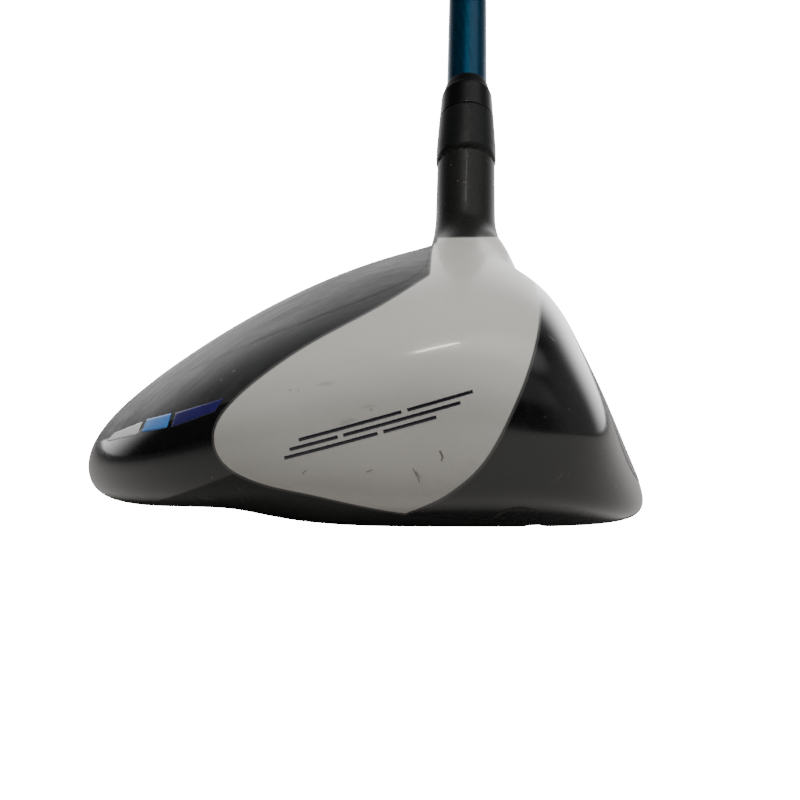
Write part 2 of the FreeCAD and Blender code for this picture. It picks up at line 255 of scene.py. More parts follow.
# control points of the head: each section is a template scaled between its top, bottom, front and back,
# then blended toward an oval by its roundness, with the oval's angles spread by its evenness
def headNet():
    s = np.array(head["sections"])
    length, depth, height = headLength * mm, headDepth * mm, headHeight * mm
    s = s * np.array([length, height, length, height, depth, depth, 1, 1])
    radius = club["hoselRadius"] * mm / ((2 + math.cos(2 * math.pi / ringCount)) / 3)
    level = np.array(head["hoselLevels"]) * (club["hoselTop"] * mm)
    one = np.ones(len(level))
    tube = np.stack([level * lieCos - radius * lieSin, level * lieSin + radius * lieCos,
                     level * lieCos + radius * lieSin, level * lieSin - radius * lieCos,
                     radius * one, -radius * one, one, one], 1)
    s = np.concatenate([s, tube])
    top, bottom = s[:, 0:2], s[:, 2:4]
    front, back, oval, even = (s[:, k, None] for k in (4, 5, 6, 7))
    tall = np.linalg.norm(top - bottom, axis=1)[:, None]
    faceT = np.array(head["faceHeights"])
    faceX = front - math.tan(club["loft"]) * (faceT - faceT[0]) * tall
    crownF, crownT = np.array(head["crown"]).T
    soleF, soleT = np.array(head["sole"]).T
    x = np.concatenate([faceX, back + crownF * (faceX[:, -1:] - back), back + soleF * (front - back)], 1)
    t = np.broadcast_to(np.concatenate([faceT, crownT, soleT]), x.shape)
    centre, reach = (front + back) / 2, np.maximum((front - back) / 2, 1e-9)
    angle = np.unwrap(np.arctan2(2 * t - 1, (x - centre) / reach), axis=1)
    angle = angle * (1 - even) + (head["ringStart"] + 2 * math.pi * np.arange(ringCount) / ringCount) * even
    x = x * (1 - oval) + (centre + reach * np.cos(angle)) * oval
    t = t * (1 - oval) + (0.5 + 0.5 * np.sin(angle)) * oval
    yz = bottom[:, None, :] + t[..., None] * (top - bottom)[:, None, :]
    return np.concatenate([x[..., None], yz], -1)


net = headNet()
vEnd = len(net) - 3
knots = np.concatenate([[0] * 3, np.arange(vEnd + 1), [vEnd] * 3]).astype(float)


# cubic weights along the head: the usual B-spline recurrence on clamped knots
def lengthWeights(v):
    v = np.clip(v, 0, vEnd)
    span = np.minimum(v.astype(int), vEnd - 1)
    weights = [np.ones_like(v)]
    left, right = [None], [None]
    for j in (1, 2, 3):
        left.append(v - knots[span + 4 - j])
        right.append(knots[span + 3 + j] - v)
        carried = np.zeros_like(v)
        fresh = []
        for r in range(j):
            share = weights[r] / (right[r + 1] + left[j - r])
            fresh.append(carried + right[r + 1] * share)
            carried = left[j - r] * share
        weights = fresh + [carried]
    return span, np.stack(weights, -1)


# cubic weights round the head: the uniform B-spline
def roundWeights(u):
    start = np.floor(u).astype(int)
    f = u - start
    weights = [(1 - f) ** 3, 3 * f**3 - 6 * f**2 + 4, -3 * f**3 + 3 * f**2 + 3 * f + 1, f**3]
    return start, np.stack(weights, -1) / 6


# point of the head at (u round, v along): the weighted sum of its sixteen nearest control points
def headPoint(u, v):
    u, v = np.asarray(u, float), np.asarray(v, float)
    start, wu = roundWeights(u)
    span, wv = lengthWeights(v)
    rows = span[..., None] + np.arange(4)
    cols = (start[..., None] + np.arange(-1, 3)) % ringCount
    patch = net[rows[..., :, None], cols[..., None, :]]
    return np.einsum("...i,...j,...ijk->...k", wv, wu, patch)


# outward unit normal: cross product of two short steps along the surface
def headNormal(u, v, step=0.01):
    u, v = np.asarray(u, float), np.clip(v, 2 * step, vEnd - step)
    along = headPoint(u, v + step) - headPoint(u, v - step)
    n = np.cross(along, headPoint(u + step, v) - headPoint(u - step, v))
    return n / np.linalg.norm(n, axis=-1, keepdims=True)


nearToe = np.linspace(0.02, 1.0, 16) ** 2 * 1.5
coarseU, coarseV = np.meshgrid(np.linspace(0, ringCount, 80, endpoint=False),
                               np.concatenate([nearToe, np.linspace(1.6, vEnd, 80)]))
coarseU, coarseV = coarseU.ravel(), coarseV.ravel()
coarsePoints = headPoint(coarseU, coarseV)


# where lines from the given points, all going one way, first meet the head:
# the first sample close to each line, then damped least-squares steps in u, v and distance
def castOnHead(origins, direction):
    origins = np.asarray(origins, float)
    shape = origins.shape[:-1]
    origins = origins.reshape(-1, 3)
    direction = np.asarray(direction, float) / np.linalg.norm(direction)
    first = np.empty(len(origins), int)
    side = np.cross(direction, shaftSide if abs(direction[0]) < 0.9 else shaftDir)
    side = side / np.linalg.norm(side)
    flat = np.stack([side, np.cross(direction, side)], 1)
    sampleFlat, sampleAlong = (coarsePoints @ flat), (coarsePoints @ direction)
    for chunk in np.array_split(np.arange(len(origins)), len(origins) // 1500 + 1):
        here = origins[chunk] @ flat
        off = (here**2).sum(1)[:, None] + (sampleFlat**2).sum(1) - 2 * here @ sampleFlat.T
        off = np.sqrt(np.maximum(off, 0))
        first[chunk] = np.argmin(sampleAlong + 1000 * np.maximum(off - 2.2 * mm, 0), axis=1)
    u, v = coarseU[first].copy(), coarseV[first].copy()
    t = (coarsePoints[first] - origins) @ direction
    step = 1e-4
    reach = 0.005  # puts the distance on the same footing as the two surface steps
    for _ in range(10):
        here = headPoint(u, v)
        miss = here - origins - t[:, None] * direction
        slopeU = (headPoint(u + step, v) - here) / step
        slopeV = (headPoint(u, np.minimum(v + step, vEnd)) - here) / step
        slopes = np.stack([slopeU, slopeV, np.broadcast_to(-direction * reach, slopeU.shape)], -1)
        square = np.einsum("nki,nkj->nij", slopes, slopes) + np.eye(3) * 1e-11
        change = np.linalg.solve(square, np.einsum("nki,nk->ni", slopes, miss)[..., None])[..., 0]
        u -= np.clip(change[:, 0], -1.0, 1.0)
        v = np.clip(v - np.clip(change[:, 1], -0.4, 0.4), 1e-4, vEnd)
        t -= change[:, 2] * reach
    return headPoint(u, v).reshape(shape + (3,)), headNormal(u, v).reshape(shape + (3,))


paint = {
    # white toe panel, seen along Y: (x, z) down the rear edge, round the tip, up the front edge
    "rearEdge": ((-6.2, 44.0), (-5.2, 37.0), (-3.9, 31.5), (-3.6, 29.6)),
    "toeEdge": ((-3.6, 29.6), (-7.8, 26.4), (-14.7, 22.4), (-20.0, 18.4), (-22.2, 15.4),
                (-21.6, 12.7), (-18.6, 11.0), (-12.5, 9.7), (-5.1, 8.1)),
    "frontEdge": ((-5.1, 8.1), (-1.3, 10.4), (1.9, 13.6), (4.6, 19.0), (6.3, 23.6), (7.1, 26.4),
                  (7.8, 29.6), (8.3, 34.0), (8.7, 38.0), (8.9, 44.0)),
    "hoselHeight": 39.0, "hoselLean": 0.095,
    # the panel ends toward the heel on a plane: its height where y is 0, and y per height
    "heelHeight": 32.0, "heelSlope": 3.0,
    # rear band where satin crown meets gloss skirt: height at a depth, and rise per depth
    "bandDepth": -22.0, "bandHeight": 17.5, "bandRise": 0.33, "satinFront": -3.0,
    # sole seam as heights at depths: up to the panel's lower edge, then low along the front
    "seam": ((-50.0, -1.5), (-20.2, 11.6), (-5.0, 8.0), (6.0, 6.4), (24.0, 5.2)),
}
rearRun = smoothRun(paint["rearEdge"], 8)
toeRun = smoothRun(paint["toeEdge"], 10)
frontRun = smoothRun(paint["frontEdge"], 8)
panelLoop = np.concatenate([rearRun[:-1], toeRun[:-1], frontRun])


# signed distances in millimetres from the paint lines, negative inside each region
def paintFields(points):
    c = paint
    p = points.reshape(-1, 3) / mm
    x, y, z = p.T
    panel = loopDistance(p[:, [0, 2]], panelLoop)
    heelCut = (y - c["heelSlope"] * (z - c["heelHeight"])) / math.hypot(1, c["heelSlope"])
    hosel = z - c["hoselLean"] * y - c["hoselHeight"]
    panel = np.maximum(np.maximum(panel, heelCut), hosel)
    band = c["bandHeight"] + c["bandRise"] * (x - c["bandDepth"]) - z
    seam = z - np.interp(x, *np.array(c["seam"]).T)
    return {"panelEdge": panel, "hoselEdge": -hosel, "satinEdge": np.maximum(band, x - c["satinFront"]),
            "soleEdge": seam}


print("head lines ready")


# a number is set on the socket, another node's output is linked to it
def setInput(tree, socket, value):
    if isinstance(value, bpy.types.NodeSocket):
        tree.links.new(value, socket)
    else:
        socket.default_value = value


# a node with its settings made and its inputs set
def put(tree, kind, inputs=None, **settings):
    node = tree.nodes.new(kind)
    for key, value in settings.items():
        setattr(node, key, value)
    for key, value in (inputs or {}).items():
        setInput(tree, node.inputs[key], value)
    return node


# one sum on the values of the surface
def math2(tree, operation, a, b=0.0):
    return put(tree, "ShaderNodeMath", {0: a, 1: b}, operation=operation).outputs[0]


def times(tree, a, b):
    return math2(tree, "MULTIPLY", a, b)


def plus(tree, a, b):
    return math2(tree, "ADD", a, b)


# change from one range to another, straight or as an S, held at its ends
def span(tree, value, fromLow, fromHigh, toLow=0.0, toHigh=1.0, smooth=False):
    node = put(tree, "ShaderNodeMapRange", {"Value": value, "From Min": fromLow, "From Max": fromHigh,
                                            "To Min": toLow, "To Max": toHigh},
               interpolation_type="SMOOTHSTEP" if smooth else "LINEAR")
    return node.outputs["Result"]


# a at factor 0, b at factor 1
def blendColour(tree, factor, a, b):
    node = put(tree, "ShaderNodeMix", data_type="RGBA")
    for key, value in ((0, factor), (6, a), (7, b)):
        setInput(tree, node.inputs[key], (*value, 1.0) if isinstance(value, tuple) else value)
    return node.outputs[2]


def blendValue(tree, factor, a, b):
    return put(tree, "ShaderNodeMix", {0: factor, 2: a, 3: b}, data_type="FLOAT").outputs[0]


# colour that goes from the first of a pair to the second as a value climbs from low to high
def tinted(tree, value, low, high, pair):
    return blendColour(tree, span(tree, value, low, high), *pair)


# layers laid one on another: each value takes over where its mask is 1
def layered(tree, blend, base, masks, values):
    for mask, value in zip(masks, values):
        base = blend(tree, mask, base, value)
    return base


# object position, first turned, then drawn out by stretch along each turned axis
def objectSpace(tree, stretch=(1, 1, 1), turn=(0, 0, 0)):
    coord = put(tree, "ShaderNodeTexCoord")
    return put(tree, "ShaderNodeMapping", {"Vector": coord.outputs["Object"], "Scale": stretch,
                                           "Rotation": turn}, vector_type="TEXTURE").outputs["Vector"]


# noise between 0 and 1 at a position
def noise(tree, vector, scale, detail, rough=0.5):
    return put(tree, "ShaderNodeTexNoise", {"Vector": vector, "Scale": scale, "Detail": detail,
                                            "Roughness": rough}).outputs["Fac"]


# colour, roughness and a bump from a height, linked to the shader
def coat(tree, shader, colour, rough, height, strength, distance=0.00002):
    bump = put(tree, "ShaderNodeBump", {"Height": height, "Strength": strength, "Distance": distance})
    for key, value in (("Base Color", colour), ("Roughness", rough), ("Normal", bump.outputs["Normal"])):
        tree.links.new(value, shader.inputs[key])


# value of a mesh attribute
def field(tree, name):
    return put(tree, "ShaderNodeAttribute", attribute_name=name).outputs["Fac"]


# new node group with its sockets; gives its tree, its input values and its output node
def startGroup(name, inputs, outputs):
    tree = bpy.data.node_groups.new(name, "ShaderNodeTree")
    for label, kind, value in inputs:
        socket = tree.interface.new_socket(label, in_out="INPUT", socket_type=kind)
        if value is not None:
            socket.default_value = value
    for label in outputs:
        tree.interface.new_socket(label, in_out="OUTPUT", socket_type="NodeSocketFloat")
    source, sink = put(tree, "NodeGroupInput"), put(tree, "NodeGroupOutput")
    return tree, [source.outputs[label] for label, kind, value in inputs], sink


# group node with its inputs set; gives its outputs in their order
def useGroup(tree, group, **inputs):
    node = put(tree, "ShaderNodeGroup", inputs, node_tree=group)
    return [node.outputs[socket.name] for socket in group.interface.items_tree if socket.in_out == "OUTPUT"]


# new material whose shader has its plain values set
def startMaterial(name, **constants):
    material = bpy.data.materials.new(name)
    material.use_nodes = True
    tree = material.node_tree
    shader = tree.nodes["Principled BSDF"]
    for key, value in constants.items():
        shader.inputs[key.replace("_", " ")].default_value = value
    return material, tree, shader


# fine grain: a near and a far noise added for the value, and the near one alone for the height
def makeGrainGroup():
    tree, (vector, scale), sink = startGroup(
        "fineGrain", [("Vector", "NodeSocketVector", None), ("Scale", "NodeSocketFloat", 400.0)],
        ["Value", "Height"])
    near = noise(tree, vector, scale, 4.0, 0.65)
    far = noise(tree, vector, times(tree, scale, 0.23), 2.0)
    tree.links.new(plus(tree, times(tree, near, 0.6), times(tree, far, 0.4)), sink.inputs["Value"])
    tree.links.new(near, sink.inputs["Height"])
    return tree


# handling marks: thin long scratches, small specks and a slow smear, each as a mask
def makeMarksGroup():
    tree, (vector, scratches, specks), sink = startGroup(
        "handlingMarks", [("Vector", "NodeSocketVector", None), ("Scratches", "NodeSocketFloat", 1.0),
                          ("Specks", "NodeSocketFloat", 1.0)], ["Scratch", "Speck", "Smear"])
    total = None
    for turn, size in ((0.5, 260.0), (1.9, 330.0), (2.7, 210.0)):
        mapped = put(tree, "ShaderNodeMapping", {"Vector": vector, "Rotation": (turn, turn * 0.7, turn),
                                                 "Scale": (0.045, 1.0, 0.30)}, vector_type="POINT")
        lines = noise(tree, mapped.outputs["Vector"], size * 10, 1.0)
        gate = noise(tree, vector, size, 1.0)
        line = times(tree, span(tree, lines, 0.70, 0.74), span(tree, gate, 0.60, 0.68))
        total = line if total is None else math2(tree, "MAXIMUM", total, line)
    dots = put(tree, "ShaderNodeTexVoronoi", {"Vector": vector, "Scale": 900.0, "Randomness": 1.0})
    dotGate = span(tree, noise(tree, vector, 320.0, 1.0), 0.64, 0.68)
    speck = times(tree, span(tree, dots.outputs["Distance"], 0.10, 0.16, 1.0, 0.0), dotGate)
    tree.links.new(times(tree, total, scratches), sink.inputs["Scratch"])
    tree.links.new(times(tree, speck, specks), sink.inputs["Speck"])
    tree.links.new(noise(tree, vector, 55.0, 3.0), sink.inputs["Smear"])
    return tree


grainGroup = makeGrainGroup()
marksGroup = makeMarksGroup()

headFinish = {
    # dark and light end of each region's colour
    "gloss": ((0.0035, 0.0035, 0.004), (0.009, 0.009, 0.0095)),
    "sole": ((0.002, 0.003, 0.0026), (0.007, 0.008, 0.0075)),
    "satin": ((0.010, 0.010, 0.0105), (0.040, 0.040, 0.041)),
    "hosel": ((0.005, 0.005, 0.0046), (0.015, 0.015, 0.014)),
    "pearl": ((0.475, 0.462, 0.425), (0.51, 0.498, 0.462)),
    # the first colour is a painted highlight for the panel's raised edge; scratches and specks follow
    "paintedRidgeHighlight": (0.16, 0.16, 0.155), "scratch": (0.17, 0.165, 0.155), "speck": (0.22, 0.21, 0.19),
    "glossRough": 0.16, "soleRough": 0.50, "satinRough": (0.34, 0.56), "hoselRough": 0.42,
    "glossCoat": 0.8, "hoselCoat": 0.05,
    # panel's value far from the hosel and close under it
    "panelRough": (0.22, 0.36), "panelCoat": (1.0, 0.12),
}


# head paint: gloss black skirt, then sole, brushed satin crown, satin hosel and pearl panel laid over it
def makeHeadPaint():
    c = headFinish
    material, tree, shader = startMaterial("headPaint", IOR=1.5, Coat_Roughness=0.09)
    panel, hosel = field(tree, "panelEdge"), field(tree, "hoselEdge")
    satin, sole = field(tree, "satinEdge"), field(tree, "soleEdge")
    masks = [span(tree, edge, -blur, blur, 1.0, 0.0)
             for edge, blur in ((sole, 0.1), (satin, 0.12), (hosel, 0.15), (panel, 0.06))]
    straight = objectSpace(tree)
    scratch, speck, smear = useGroup(tree, marksGroup, Vector=straight, Scratches=1.0, Specks=1.0)
    streaks = objectSpace(tree, (9.0, 1.0, 1.0), (0.2, -0.55, 0.35))
    grain, grainHeight = useGroup(tree, grainGroup, Vector=streaks, Scale=2600.0)
    flake = useGroup(tree, grainGroup, Vector=straight, Scale=5200.0)[0]
    colour = layered(tree, blendColour, tinted(tree, flake, 0.35, 0.7, c["gloss"]), masks, [
        tinted(tree, grain, 0.3, 0.7, c["sole"]), tinted(tree, grain, 0.3, 0.7, c["satin"]),
        tinted(tree, flake, 0.3, 0.7, c["hosel"]), tinted(tree, smear, 0.3, 0.7, c["pearl"])])
    # painted highlight: a pale line just outside the panel's edge, where the raised paint edge would catch the
    # light
    paintedRidgeHighlight = span(tree, math2(tree, "ABSOLUTE", math2(tree, "SUBTRACT", panel, 0.14)), 0.05, 0.16, 1.0, 0.0)
    colour = layered(tree, blendColour, colour,
                     [times(tree, paintedRidgeHighlight, 0.35), times(tree, scratch, 0.28), times(tree, speck, 0.5)],
                     [c["paintedRidgeHighlight"], c["scratch"], c["speck"]])
    nearHosel = span(tree, hosel, 2.0, 10.0, 1.0, 0.0, smooth=True)
    rough = layered(tree, blendValue, c["glossRough"], masks, [
        c["soleRough"], span(tree, grain, 0.3, 0.7, *c["satinRough"]), c["hoselRough"],
        blendValue(tree, nearHosel, *c["panelRough"])])
    rough = plus(tree, rough, times(tree, scratch, 0.2))
    rough = plus(tree, rough, span(tree, smear, 0.45, 0.8, 0.0, 0.06))
    lacquer = layered(tree, blendValue, c["glossCoat"], masks,
                      [0.0, 0.0, c["hoselCoat"], blendValue(tree, nearHosel, *c["panelCoat"])])
    tree.links.new(lacquer, shader.inputs["Coat Weight"])
    height = times(tree, grainHeight, times(tree, masks[1], 2.4))
    height = plus(tree, height, span(tree, panel, -0.05, 0.20, 6.0, 0.0, smooth=True))
    coat(tree, shader, colour, rough, math2(tree, "SUBTRACT", height, times(tree, scratch, 0.6)), 0.35)
    return material


# brushed bare steel: bright along the brushing, darker between the strokes, with painted shade in the sunk
# score lines
def makeSteel(name, colour, rough, stretch, scoreShade=False):
    material, tree, shader = startMaterial(name, Metallic=1.0)
    grain, height = useGroup(tree, grainGroup, Vector=objectSpace(tree, stretch), Scale=1800.0)
    scratch = useGroup(tree, marksGroup, Vector=objectSpace(tree), Scratches=1.0, Specks=0.6)[0]
    base = tinted(tree, grain, 0.3, 0.7, (tuple(0.72 * c for c in colour), colour))
    base = blendColour(tree, times(tree, scratch, 0.4), base, (0.65, 0.65, 0.66))
    if scoreShade:
        # painted shade: the score lines' grooves darkened by their depth
        sunk = span(tree, field(tree, "scoreDepth"), 0.05, 0.3)
        base = blendColour(tree, sunk, base, (0.035, 0.035, 0.036))
    coat(tree, shader, base, span(tree, grain, 0.3, 0.7, rough - 0.06, rough + 0.08), height, 0.25)
    return material


# moulded, printed or anodised finish: two tones mixed by the grain, scratched pale, dulled by the smear
def makeDark(name, low, high, rough, scale, bumpSize=0.00001, lacquer=0.0, scratches=0.5):
    material, tree, shader = startMaterial(name, Coat_Weight=lacquer, Coat_Roughness=0.05)
    grain, height = useGroup(tree, grainGroup, Vector=objectSpace(tree), Scale=scale)
    scratch, _, smear = useGroup(tree, marksGroup, Vector=objectSpace(tree), Scratches=scratches, Specks=0.5)
    base = tinted(tree, grain, 0.3, 0.7, (low, high))
    base = blendColour(tree, times(tree, scratch, 0.15), base, (0.12, 0.12, 0.12))
    coat(tree, shader, base, span(tree, smear, 0.35, 0.75, rough, rough + 0.1), height, 0.3, bumpSize)
    return material


# blue lacquered shaft: fibre grain drawn out along the axis with a faint weave, seen through tinted gloss
def makeShaftPaint():
    material, tree, shader = startMaterial("shaftPaint", Coat_Weight=0.35, Coat_Roughness=0.08, Metallic=0.8)
    lean = -math.radians(30)  # brings the shaft's axis upright
    weave = put(tree, "ShaderNodeTexWave", {"Vector": objectSpace(tree, turn=(lean, 0, 0.35)),
                                            "Scale": 240.0, "Distortion": 1.2, "Detail": 2.0})
    along = objectSpace(tree, (1.0, 1.0, 6.0), (lean, 0, 0))
    grain = useGroup(tree, grainGroup, Vector=along, Scale=3400.0)[0]
    fibre = plus(tree, times(tree, weave.outputs["Fac"], 0.10), times(tree, grain, 0.9))
    base = tinted(tree, fibre, 0.25, 0.8, ((0.001, 0.045, 0.105), (0.004, 0.095, 0.19)))
    coat(tree, shader, base, span(tree, fibre, 0.25, 0.8, 0.28, 0.40), fibre, 0.15, 0.00001)
    return material


headPaint = makeHeadPaint()
faceSteel = makeSteel("faceSteel", (0.30, 0.30, 0.31), 0.34, (1.0, 0.08, 1.0), scoreShade=True)
screwSteel = makeSteel("screwSteel", (0.22, 0.22, 0.23), 0.38, (1.0, 1.0, 1.0))
weightBrass = makeSteel("weightBrass", (0.62, 0.45, 0.20), 0.30, (1.0, 1.0, 0.1))
sleeveFinish = makeDark("sleeveFinish", (0.003, 0.0035, 0.0035), (0.009, 0.0095, 0.0095), 0.38, 4200.0)
ferruleFinish = makeDark("ferruleFinish", (0.0015, 0.0015, 0.002), (0.004, 0.004, 0.0045), 0.30, 3000.0,
                         lacquer=0.12)
slotFinish = makeDark("slotFinish", (0.008, 0.008, 0.008), (0.018, 0.018, 0.018), 0.6, 2600.0, 0.00003)
shaftPaint = makeShaftPaint()
gripFinish = makeDark("gripFinish", (0.020, 0.020, 0.021), (0.046, 0.046, 0.048), 0.62, 1500.0, 0.00006)
capFinish = makeDark("capFinish", (0.022, 0.022, 0.023), (0.042, 0.042, 0.043), 0.5, 1800.0, 0.00004)
print("club finishes ready")


# lacquered finish with few scratches, for the toe mark's print and the colour blocks on the tail
def makeLacquerFinish(name, low, high, rough, lacquer=0.3):
    return makeDark(name, low, high, rough, 2600.0, lacquer=lacquer, scratches=0.2)


# three colour blocks in a row on the tail: pale, sky blue and violet
paleBlock = makeLacquerFinish("paleBlock", (0.56, 0.56, 0.57), (0.64, 0.64, 0.65), 0.45)
skyBlock = makeLacquerFinish("skyBlock", (0.035, 0.17, 0.50), (0.06, 0.24, 0.62), 0.40)
violetBlock = makeLacquerFinish("violetBlock", (0.012, 0.010, 0.075), (0.022, 0.016, 0.12), 0.42)
darkInk = makeLacquerFinish("darkInk", (0.004, 0.005, 0.010), (0.010, 0.011, 0.018), 0.22, lacquer=0.6)
scuffInk = makeDark("scuffInk", (0.10, 0.085, 0.07), (0.22, 0.20, 0.17), 0.6, 3000.0, scratches=0.0)
tapeFinish = makeDark("tapeFinish", (0.50, 0.48, 0.43), (0.62, 0.60, 0.55), 0.8, 1200.0, 0.00005)
print("inks and tape ready")


# gives a piece its material and body, and hides the CAD nodes that it stands in for; the slot is not used
def dress(piece, material, body, slot, *nodes):
    piece.data.materials.clear()
    piece.data.materials.append(material)
    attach(piece, body)
    if nodes:
        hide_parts(*nodes)
    return piece


shell = {
    "around": 320,
    "along": 262,
    "slotWidth": 2.4, "slotToe": -68.8, "slotHeel": -9.9, "slotDepth": 0.9,
    "slotTaper": 9.0, "slotHighest": 9.6, "slotEdge": (0.02, -0.22),
    "slotFront": 0.172, "slotBow": 0.095, "slotCrest": 0.62,  # shares of the head's depth, and of the run
    "slotColumns": (16.9, 19.1, 130),  # from, to and how many columns of the grid
    "faceSink": 0.6, "faceEdge": (-0.35, -1.0), "faceBack": 5.0, "faceHighest": 33.0,
    "boreRadius": 5.55, "boreLow": 37.0, "throatRadius": 4.1,
    "seatLevel": 20.0, "seatThick": 2.4,
    "screwRadius": 2.9, "portRadius": 4.8, "rimRadius": 6.0,
    # rings of the port's rim as (radius, height above the sole)
    "rim": ((4.8, -1.2), (4.8, -0.12), (4.92, 0.03), (5.2, 0.10), (5.6, 0.08), (5.85, 0.02), (6.0, -0.3)),
}


# middle line of the sole slot in plan: a parabola that is furthest forward at its crest
def slotLine(count=60):
    s = shell
    along = np.linspace(0, 1, count)
    y = s["slotToe"] + (s["slotHeel"] - s["slotToe"]) * along
    x = headDepth * (s["slotFront"] - s["slotBow"] * ((along - s["slotCrest"]) / s["slotCrest"]) ** 2)
    return np.stack([x, y], 1)


# columns round the head, packed close where the slot runs
def columnSpread():
    low, high, packed = shell["slotColumns"]
    rest = shell["around"] - packed
    free = ringCount - (high - low)
    firstPart = round(rest * low / free)
    return np.concatenate([np.linspace(0, low, firstPart, endpoint=False),
                           np.linspace(low, high, packed, endpoint=False),
                           np.linspace(high, ringCount, rest - firstPart, endpoint=False)])


# the whole outside of head and hosel: the surface with slot and face seat pressed in along its normals,
# then the hosel's mouth, its bore down to the screw seat, and the screw port back out to a rim on the sole
def makeHeadShell():
    s = shell
    run = np.linspace(0, 1, s["along"])
    gridU, gridV = np.meshgrid(columnSpread(), vEnd * (0.80 * run + 0.20 * run**1.8))
    points, normals = headPoint(gridU, gridV), headNormal(gridU, gridV)
    p = points.reshape(-1, 3) / mm
    slotGap = lineDistance(p[:, :2], slotLine()) - s["slotWidth"] / 2
    deep = 0.05 + 0.95 * ease(s["slotToe"], s["slotToe"] + s["slotTaper"], p[:, 1])
    sink = np.where(p[:, 2] < s["slotHighest"], s["slotDepth"] * deep * ease(*s["slotEdge"], slotGap), 0)
    faceGap = loopDistance(p[:, 1:], faceLoop)
    onFace = (p[:, 0] > s["faceBack"]) & (p[:, 2] < s["faceHighest"])
    sink += np.where(onFace, s["faceSink"] * ease(*s["faceEdge"], faceGap), 0)
    points = points - normals * (sink * mm).reshape(gridU.shape)[..., None]
    level = p @ shaftDir
    fromAxis = np.linalg.norm(p - level[:, None] * shaftDir, axis=1).reshape(gridU.shape)
    inPort = (fromAxis < s["rimRadius"] - 0.6) & (level.reshape(gridU.shape) < s["seatLevel"])
    points[0] = headPoint(0.0, 0.0)
    hoselTop = club["hoselTop"]
    outward = points[-1] - onAxis(hoselTop * mm)
    outward = outward / np.linalg.norm(outward, axis=1, keepdims=True)
    mouth, bored, throat = club["hoselRadius"], s["boreRadius"], s["throatRadius"]
    seatTop = s["seatLevel"] + s["seatThick"]
    bore = eased([(mouth, hoselTop - 0.2), (mouth - 0.2, hoselTop), (bored, hoselTop), (bored, s["boreLow"]),
                  (throat, s["boreLow"]), (throat, seatTop), (s["screwRadius"], seatTop),
                  (s["screwRadius"], s["seatLevel"]), (s["portRadius"], s["seatLevel"])], 0.1, steps=3)
    inner = onAxis(bore[:, 1] * mm)[:, None] + outward * (bore[:, 0] * mm)[:, None, None]
    rim = np.array(s["rim"])
    origins = onAxis(-30 * mm) + outward * (rim[:, 0] * mm)[:, None, None]
    ground, groundNormal = castOnHead(origins, shaftDir)
    port = ground + groundNormal * (rim[:, 1] * mm)[:, None, None]
    rows = np.concatenate([points, inner, port])
    extra = paintFields(rows)
    outside = points.shape[0] * points.shape[1]
    extra["panelEdge"][outside:] = 5.0  # no panel paint inside the bore and on the rim
    extra["hoselEdge"][outside:] = 1.0
    dropped = np.zeros(rows.shape[:2], bool)
    dropped[:len(points)] = inPort
    return rowMesh("headShell", rows, startPole=True, fields=extra, dropped=dropped)


crown = {
    "outline": ((-0.060, 0.030), (-0.165, 0.020), (-0.320, -0.110), (-0.450, -0.250), (-0.545, -0.420),
                (-0.550, -0.600), (-0.470, -0.760), (-0.330, -0.870), (-0.180, -0.885), (-0.080, -0.820),
                (-0.053, -0.690), (-0.058, -0.500), (-0.060, -0.300), (-0.058, -0.120)),
    "middle": (-0.25, -0.42),
    "proud": 0.03, "edgeStart": 0.955, "edgeDrop": 0.05, "thick": 0.8,
}
face = {
    "outline": ((-0.870, 0.400), (-0.820, 0.250), (-0.680, 0.165), (-0.460, 0.135), (-0.240, 0.145),
                (-0.090, 0.220), (-0.050, 0.400), (-0.070, 0.640), (-0.130, 0.830), (-0.270, 0.860),
                (-0.450, 0.810), (-0.640, 0.750), (-0.780, 0.660), (-0.850, 0.540)),
    "scoreStart": 0.24 * headHeight, "scorePitch": 3.9 * math.cos(club["loft"]),
    "scoreCount": 6, "scoreLift": 0.4, "scoreHalfWidth": 0.42, "scoreDepth": 0.35,
    "scoreMiddle": -0.46 * headLength, "scoreSpan": 0.44 * headLength, "scoreStep": 0.008 * headLength,
    "proud": 0.05, "edgeDrop": 0.15, "edgeWidth": 0.4, "thick": 0.55,
}
faceLoop = smoothRun(np.array(face["outline"]) * [headLength, headHeight], 12, closed=True)
crownLoop = smoothRun(np.array(crown["outline"]) * [headDepth, headLength], 14, closed=True)


# crown skin: rings drawn from the outline to its middle, dropped onto the head and turned under at the edge
def makeCrownSkin():
    c = crown
    centre = np.array(c["middle"]) * [headDepth, headLength]
    reach = np.concatenate([np.linspace(0.0, 0.97, 100), np.array([0.98, 0.99, 0.996, 1.0])])
    xy = centre + reach[:, None, None] * (crownLoop - centre)
    origins = np.concatenate([xy, np.full(xy.shape[:2] + (1,), 80.0)], -1) * mm
    points, normals = castOnHead(origins, (0, 0, -1))
    lift = c["proud"] - (c["proud"] + c["edgeDrop"]) * ease(c["edgeStart"], 1.0, reach)
    top = points + normals * (lift * mm)[:, None, None]
    under = points[[-1, 60, 0]] - normals[[-1, 60, 0]] * c["thick"] * mm
    rows = np.concatenate([top, under])
    return rowMesh("crownSkin", rows, startPole=True, endPole=True, fields=paintFields(rows))


# rows that go across the lifted top and back along an underside, and close to an edge at the first and last row
def wrapped(points, normals, lift, thick):
    top = points + normals * (lift * mm)[..., None]
    under = points - normals * thick * mm
    under[[0, -1]] = top[[0, -1]]
    return np.concatenate([top, under[:, ::-1]], 1)


